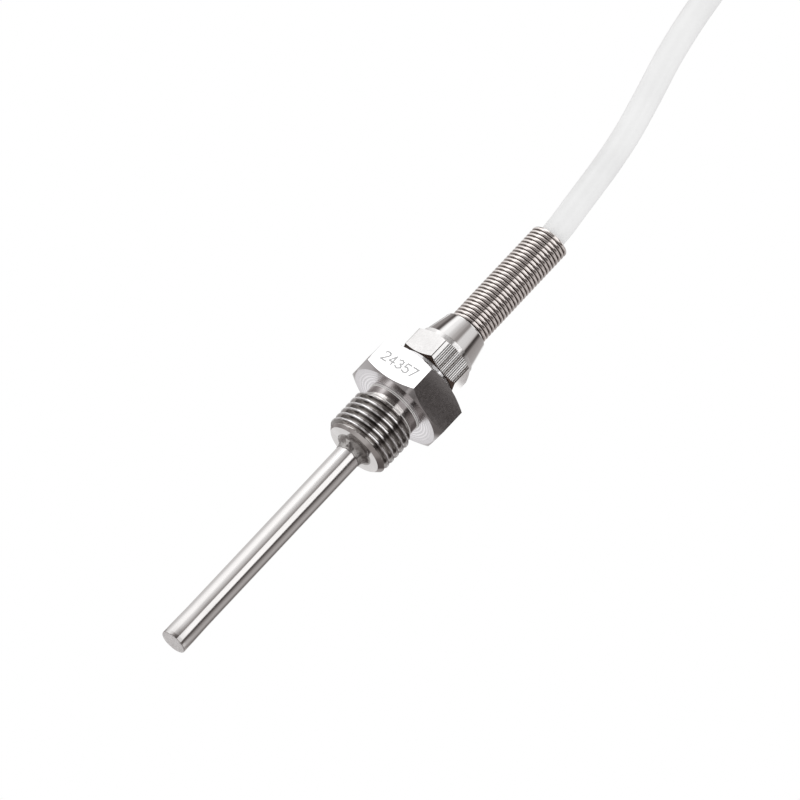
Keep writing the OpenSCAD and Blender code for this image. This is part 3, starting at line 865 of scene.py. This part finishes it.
def nut_outline():
    """The hexagon with grooves on every other side, as radii by angle in the order of the angles."""
    rng = random.Random(NUT_SEED)
    corner = (NUT_SIDE_HALF - CORNER_REACH, NUT_FLAT - CORNER_DROP)
    plain = [(NUT_SIDE_HALF * k / PLAIN_POINTS, NUT_FLAT) for k in range(1 - PLAIN_POINTS, PLAIN_POINTS)]
    outline = {}
    for face in range(6):
        middle = math.radians(NUT_FIRST_FACE + NUT_TURN) + HEX_STEP * face
        side = plain if face % 2 else grooves(rng)
        for across, out in [(-corner[0], corner[1]), *side, corner]:
            outline[middle + math.atan2(across, out)] = math.hypot(across, out)
    return dict(sorted(outline.items()))


def nut_look(face):
    """Painted shade in the grooves and on the front, and bright elsewhere."""
    at = math.degrees(math.atan2(face.center.z, face.center.y)) - NUT_TURN
    turned = math.degrees(math.atan2(face.normal.z, face.normal.y)) - NUT_TURN
    off = abs((turned - 60 * round(at / 60) + 180) % 360 - 180)
    on_side = from_axis(face) > HEXAGON_LEAST_R and abs(face.normal.x) < ALONG_NORMAL
    in_groove = on_side and off > GROOVE_TURN
    # painted shade in the grooves and on the front face
    return nut_painted_shade if in_groove or face.normal.x < FRONT_NORMAL else nut_steel


def nut():
    """The gripped nut: a hexagon, a band, a cone and a rounded lip, round the spigot and the spring."""
    outline = nut_outline()
    face_r = NUT_FLAT - NUT_INSET

    def inset(angle):
        return min(outline[angle], face_r)

    def rise(angle):
        return max(outline[angle] - face_r, 0) * CHAMFER + NUT_EDGE

    front = COLLAR_REAR
    band_front = front + NUT_HEIGHT
    cone_front = band_front + BAND_HEIGHT
    stations = [
        (front, NUT_BORE_R), (front, inset),
        (lambda angle: front + rise(angle), outline.get),
        (lambda angle: band_front - rise(angle), outline.get),
        (band_front, inset), (band_front, BAND_R + BAND_FRONT_EDGE), (band_front + BAND_FRONT_EDGE, BAND_R),
        *[(cone_front + past, BAND_R - inward) for past, inward in BAND_REAR_EDGE],
        *[(NUT_REAR - LIP_R * (1 - math.sin(a)), CONE_TOP_R - LIP_R * (1 - math.cos(a)))
          for a in quarter_turn(12)],
        (NUT_REAR, SPRING_BORE_R), (SPRING_SEAT, SPRING_BORE_R), (SPRING_SEAT, NUT_BORE_R),
    ]
    verts, faces = join_rings([ring(x, radius, list(outline)) for x, radius in stations])
    body = solid("grip_nut", verts, faces, nut_steel, NUT_SHARP)
    paint(body, [nut_painted_shade], nut_look)
    place(body, "gland_nut", "plated_nut", "spring_nut")


# ---- Spring ----

SPRING_STEPS = 48          # in a turn
WIRE_SIDES = 14
END_SIZES = (0.35, 0.85)   # of the wire in its last two rings
WIRE_SHARP = 50
GAP_NORMAL = 0.84          # a face with more of its normal along the axis faces the next turn


def spring_look(face):
    """Painted shade where the wire faces the next turn."""
    return gap_painted_shade if abs(face.normal.x) > GAP_NORMAL else wire_steel


def spring():
    """The close-wound wire, as one helix with rounded ends."""
    helix_r = SPRING_R - WIRE_R
    start = spring_low.x + WIRE_R
    turns = (spring_high.x - WIRE_R - start) / COIL_PITCH
    count = int(turns * SPRING_STEPS)
    rings = []
    for i in range(count + 1):
        turn = TAU * i / SPRING_STEPS
        x = start + COIL_PITCH * i / SPRING_STEPS
        ends = min(i, count - i)
        wire = WIRE_R * (END_SIZES[ends] if ends < len(END_SIZES) else 1)
        points = []
        for a in even_angles(WIRE_SIDES):
            r = helix_r + wire * math.cos(a)
            points.append((x + wire * math.sin(a), r * math.cos(turn), r * math.sin(turn)))
        rings.append(points)
    verts, faces = join_rings(rings, closed=False)
    wire = solid("spring_wire", verts, faces, wire_steel, WIRE_SHARP)
    paint(wire, [gap_painted_shade], spring_look)
    place(wire, "spring_carrier", "spring_steel", "strain_relief_spring")


# ---- Free cable ----

TUBE_RESOLUTION = 7
PATH_STEP = 1.6
HANK_TURNS = 3
HANK_STEPS = 480
SIDE_PART, BEND_PART = 0.2, 0.3    # of a turn: one long side, and one round end
# Where a turn goes over to its next layer: from turn, to turn, change of radius, change of height
LAYER_CHANGES = [
    (0.76, 0.90, 0, 2 * CABLE_R),
    (1.076, 1.14, MIDDLE_R - OUTER_R, NEST_RISE - 2 * CABLE_R),
    (1.70, 1.80, INNER_R - MIDDLE_R, 2 * CABLE_R - NEST_RISE),
    (2.027, 2.085, 0, -2 * CABLE_R),
]
TAIL_STEPS = 30
TAIL_START = 2.5      # straight stretch before the tail leaves the hank's side
TAIL_END = 5.0        # straight stretch before the boot
BOOT_GRIP = 1.0       # how far the jacket reaches into the boot


def tube(name, points, radius, material):
    """A round tube along a line of points in millimetres."""
    data = bpy.data.curves.new(name, "CURVE")
    data.dimensions = "3D"
    data.bevel_depth = radius * MM
    data.bevel_resolution = TUBE_RESOLUTION
    data.use_fill_caps = True
    spline = data.splines.new("POLY")
    spline.points.add(len(points) - 1)
    for item, p in zip(spline.points, points):
        item.co = (*(p * MM), 1)
    spline.use_smooth = True
    data.materials.append(material)
    return bpy.data.objects.new(name, data)


def smooth_path(points):
    """Points close together on a smooth line through the given ones."""
    path = [Vector(p) for p in points]
    padded = [2 * path[0] - path[1], *path, 2 * path[-1] - path[-2]]
    out = []
    for a, b, c, d in zip(padded, padded[1:], padded[2:], padded[3:]):
        count = max(2, round((c - b).length / PATH_STEP))
        for i in range(count):
            t = i / count
            out.append(0.5 * (2 * b + (c - a) * t + (2 * a - 5 * b + 4 * c - d) * t * t
                              + (3 * b - a - 3 * c + d) * t ** 3))
    out.append(path[-1])
    return out


def hank_point(turns):
    """A point of the hank after so many turns, clockwise seen from above, from the start of its +Y side."""
    radius, rise = OUTER_R, 0.0
    for first, last, outward, upward in LAYER_CHANGES:
        share = ease((turns - first) / (last - first))
        radius += share * outward
        rise += share * upward
    second_half, part = divmod(turns % 1, 0.5)
    sign = -1 if second_half else 1
    if part < SIDE_PART:
        x, y = HANK_HALF * (2 * part / SIDE_PART - 1), radius
    else:
        angle = math.pi / 2 - math.pi * (part - SIDE_PART) / BEND_PART
        x, y = HANK_HALF + radius * math.cos(angle), radius * math.sin(angle)
    return Vector((HANK_X + sign * x, HANK_Y + sign * y, CABLE_Z + rise))


def tail_points():
    """The cable's end, from the hank's inner side to the boot in its middle."""
    start_x = HANK_X - HANK_HALF
    bend_start, bend_end = start_x + TAIL_START, BOOT_X - TAIL_END
    points = []
    for i in range(TAIL_STEPS + 1):
        x = start_x + (BOOT_X + BOOT_GRIP - start_x) * i / TAIL_STEPS
        share = ease((x - bend_start) / (bend_end - bend_start))
        points.append(Vector((x, HANK_Y + INNER_R * (1 - share), CABLE_Z + (BOOT_R - CABLE_R) * share)))
    return points


def cable():
    """The jacket along its whole run. Returns it with its length in metres."""
    hank = [hank_point(HANK_TURNS * i / HANK_STEPS) for i in range(HANK_STEPS)]
    points = [*smooth_path([*RUN, hank[0]])[:-1], *hank, *tail_points()]
    cable_tube = tube("cable", points, CABLE_R, silicone)
    place(cable_tube, "root", "silicone_jacket", "cable_run", "cable_coil", "cable_tail")
    return cable_tube, sum((b - a).length for a, b in zip(points, points[1:])) * MM


# ---- Tie round the hank ----

TIE_FLOOR = 0.5       # the band's inside is this far over the floor
WRAP_POINTS = 13      # of the band on each turn
WRAP_STEP = 10        # degrees
BUCKLE_LEAN = math.radians(30)
BUCKLE_SINK = 0.1
BUCKLE_EDGE = 0.3
# The buckle and the band's loose end, as width, start, end and height
BUCKLE_BLOCKS = [
    (TIE_WIDTH + 1.2, -1.9, 1.9, 1.9),
    (TIE_WIDTH, 1.5, 4.2, BUCKLE_SINK + TIE_THICKNESS),
]


def band_ring(side, grow, lift):
    """One edge of the band round the hank's three turns in section, drawn tight over them."""
    # Each turn's place across and up from the middle one, and the angle at which the band meets it
    sections = [(OUTER_R - MIDDLE_R, 0, -90), (0, NEST_RISE, 30), (MIDDLE_R - OUTER_R, 0, 150)]
    x, middle_y = HANK_X + side * TIE_WIDTH / 2, HANK_Y - MIDDLE_R
    points = []
    for y, z, first in sections:
        for k in range(WRAP_POINTS):
            a = math.radians(first + WRAP_STEP * k)
            radius = CABLE_R + grow
            height = max(CABLE_Z + z + radius * math.sin(a), FLOOR_Z + lift)
            points.append((x, middle_y + y + radius * math.cos(a), height))
    return points


def strap():
    """The tie round one side of the hank: a band drawn tight over its three turns, with its buckle."""
    inside, outside = (SLIP, TIE_FLOOR), (TIE_THICKNESS, 0)
    verts, faces = join_rings([
        band_ring(-1, *inside), band_ring(-1, *outside), band_ring(1, *outside), band_ring(1, *inside),
    ])
    out = Vector((0, math.cos(BUCKLE_LEAN), math.sin(BUCKLE_LEAN)))
    along_band = Vector((0, -math.sin(BUCKLE_LEAN), math.cos(BUCKLE_LEAN)))
    seat = Vector((HANK_X, HANK_Y - MIDDLE_R + CABLE_R / 2, CABLE_Z + NEST_RISE / 2))
    seat += (CABLE_R + TIE_THICKNESS - BUCKLE_SINK) * out
    for wide, low, high, thick in BUCKLE_BLOCKS:
        layers = []
        for height, inset in ((0, 0), (thick - BUCKLE_EDGE, 0), (thick, BUCKLE_EDGE)):
            ends = ((-1, low + inset), (1, low + inset), (1, high - inset), (-1, high - inset))
            layers.append([
                seat + Vector((side * (wide / 2 - inset), 0, 0)) + end * along_band + height * out
                for side, end in ends
            ])
        add_block(verts, faces, layers)
    place(solid("tie_strap", verts, faces, strap_black), "root", "tie_strap", "coil_tie")


# ---- Boot at the cable's end ----

BOOT_FRONT_EDGE = 0.3
BOOT_REAR_EDGE = 0.5
BOOT_MOUTH_R = 1.9
GRIP_MARGIN = 3.0
GRIP_RINGS = 5
GRIP_DEPTH = 0.12
GRIP_STEPS = 40


def boot():
    """The moulded sleeve at the end of the cable, with rounded shoulders and shallow grip rings."""
    end = BOOT_X + BOOT_LENGTH
    jacket_end = BOOT_X + BOOT_GRIP + SLIP
    turns = quarter_turn(6)
    profile = [(jacket_end, 0), (jacket_end, CABLE_R + SLIP), (BOOT_X, CABLE_R + SLIP)]
    for a in reversed(turns):
        inward = BOOT_FRONT_EDGE * (1 - math.cos(a))
        profile.append((BOOT_X + BOOT_FRONT_EDGE * (1 - math.sin(a)), BOOT_R - inward))
    for i in range(GRIP_STEPS + 1):
        x = BOOT_X + GRIP_MARGIN + (BOOT_LENGTH - 2 * GRIP_MARGIN) * i / GRIP_STEPS
        profile.append((x, BOOT_R - GRIP_DEPTH * math.sin(GRIP_RINGS * math.pi * i / GRIP_STEPS) ** 2))
    for a in turns:
        inward = BOOT_REAR_EDGE * (1 - math.cos(a))
        profile.append((end - BOOT_REAR_EDGE * (1 - math.sin(a)), BOOT_R - inward))
    profile += [(end, BOOT_MOUTH_R), (end, 0)]
    sleeve = disc_lathe("boot_sleeve", profile, boot_black)
    sleeve.data.transform(Matrix.Translation(Vector((0, HANK_Y, FLOOR_Z + BOOT_R)) * MM))
    place(sleeve, "root", "boot_shrink", "end_boot")


# ---- The whole ----

jacket, cable_length = cable()
strap()
boot()
stem()
weld()
fitting()
mark()
nut()
spring()

# Looks of the CAD nodes that stay as they are
NODE_LOOKS = {
    "sensing_element": ceramic, "element_insulator": ceramic, "element_leads": crimp_metal,
    "splice_sleeves": crimp_metal, "insulating_sleeve": glass_sleeve, "potting_plug": epoxy,
    "core_wire_a": core_red, "core_wire_b": core_red, "core_wire_c": core_white,
    "cable_grommet": rubber, "thrust_washer": washer_steel, "core_ferrules": crimp_metal,
    "tail_core_a": core_red, "tail_core_b": core_red, "tail_core_c": core_white,
}
for name, look in NODE_LOOKS.items():
    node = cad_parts[name]
    node.data.materials.clear()
    node.data.materials.append(look)

scene.view_settings.view_transform = "Standard"
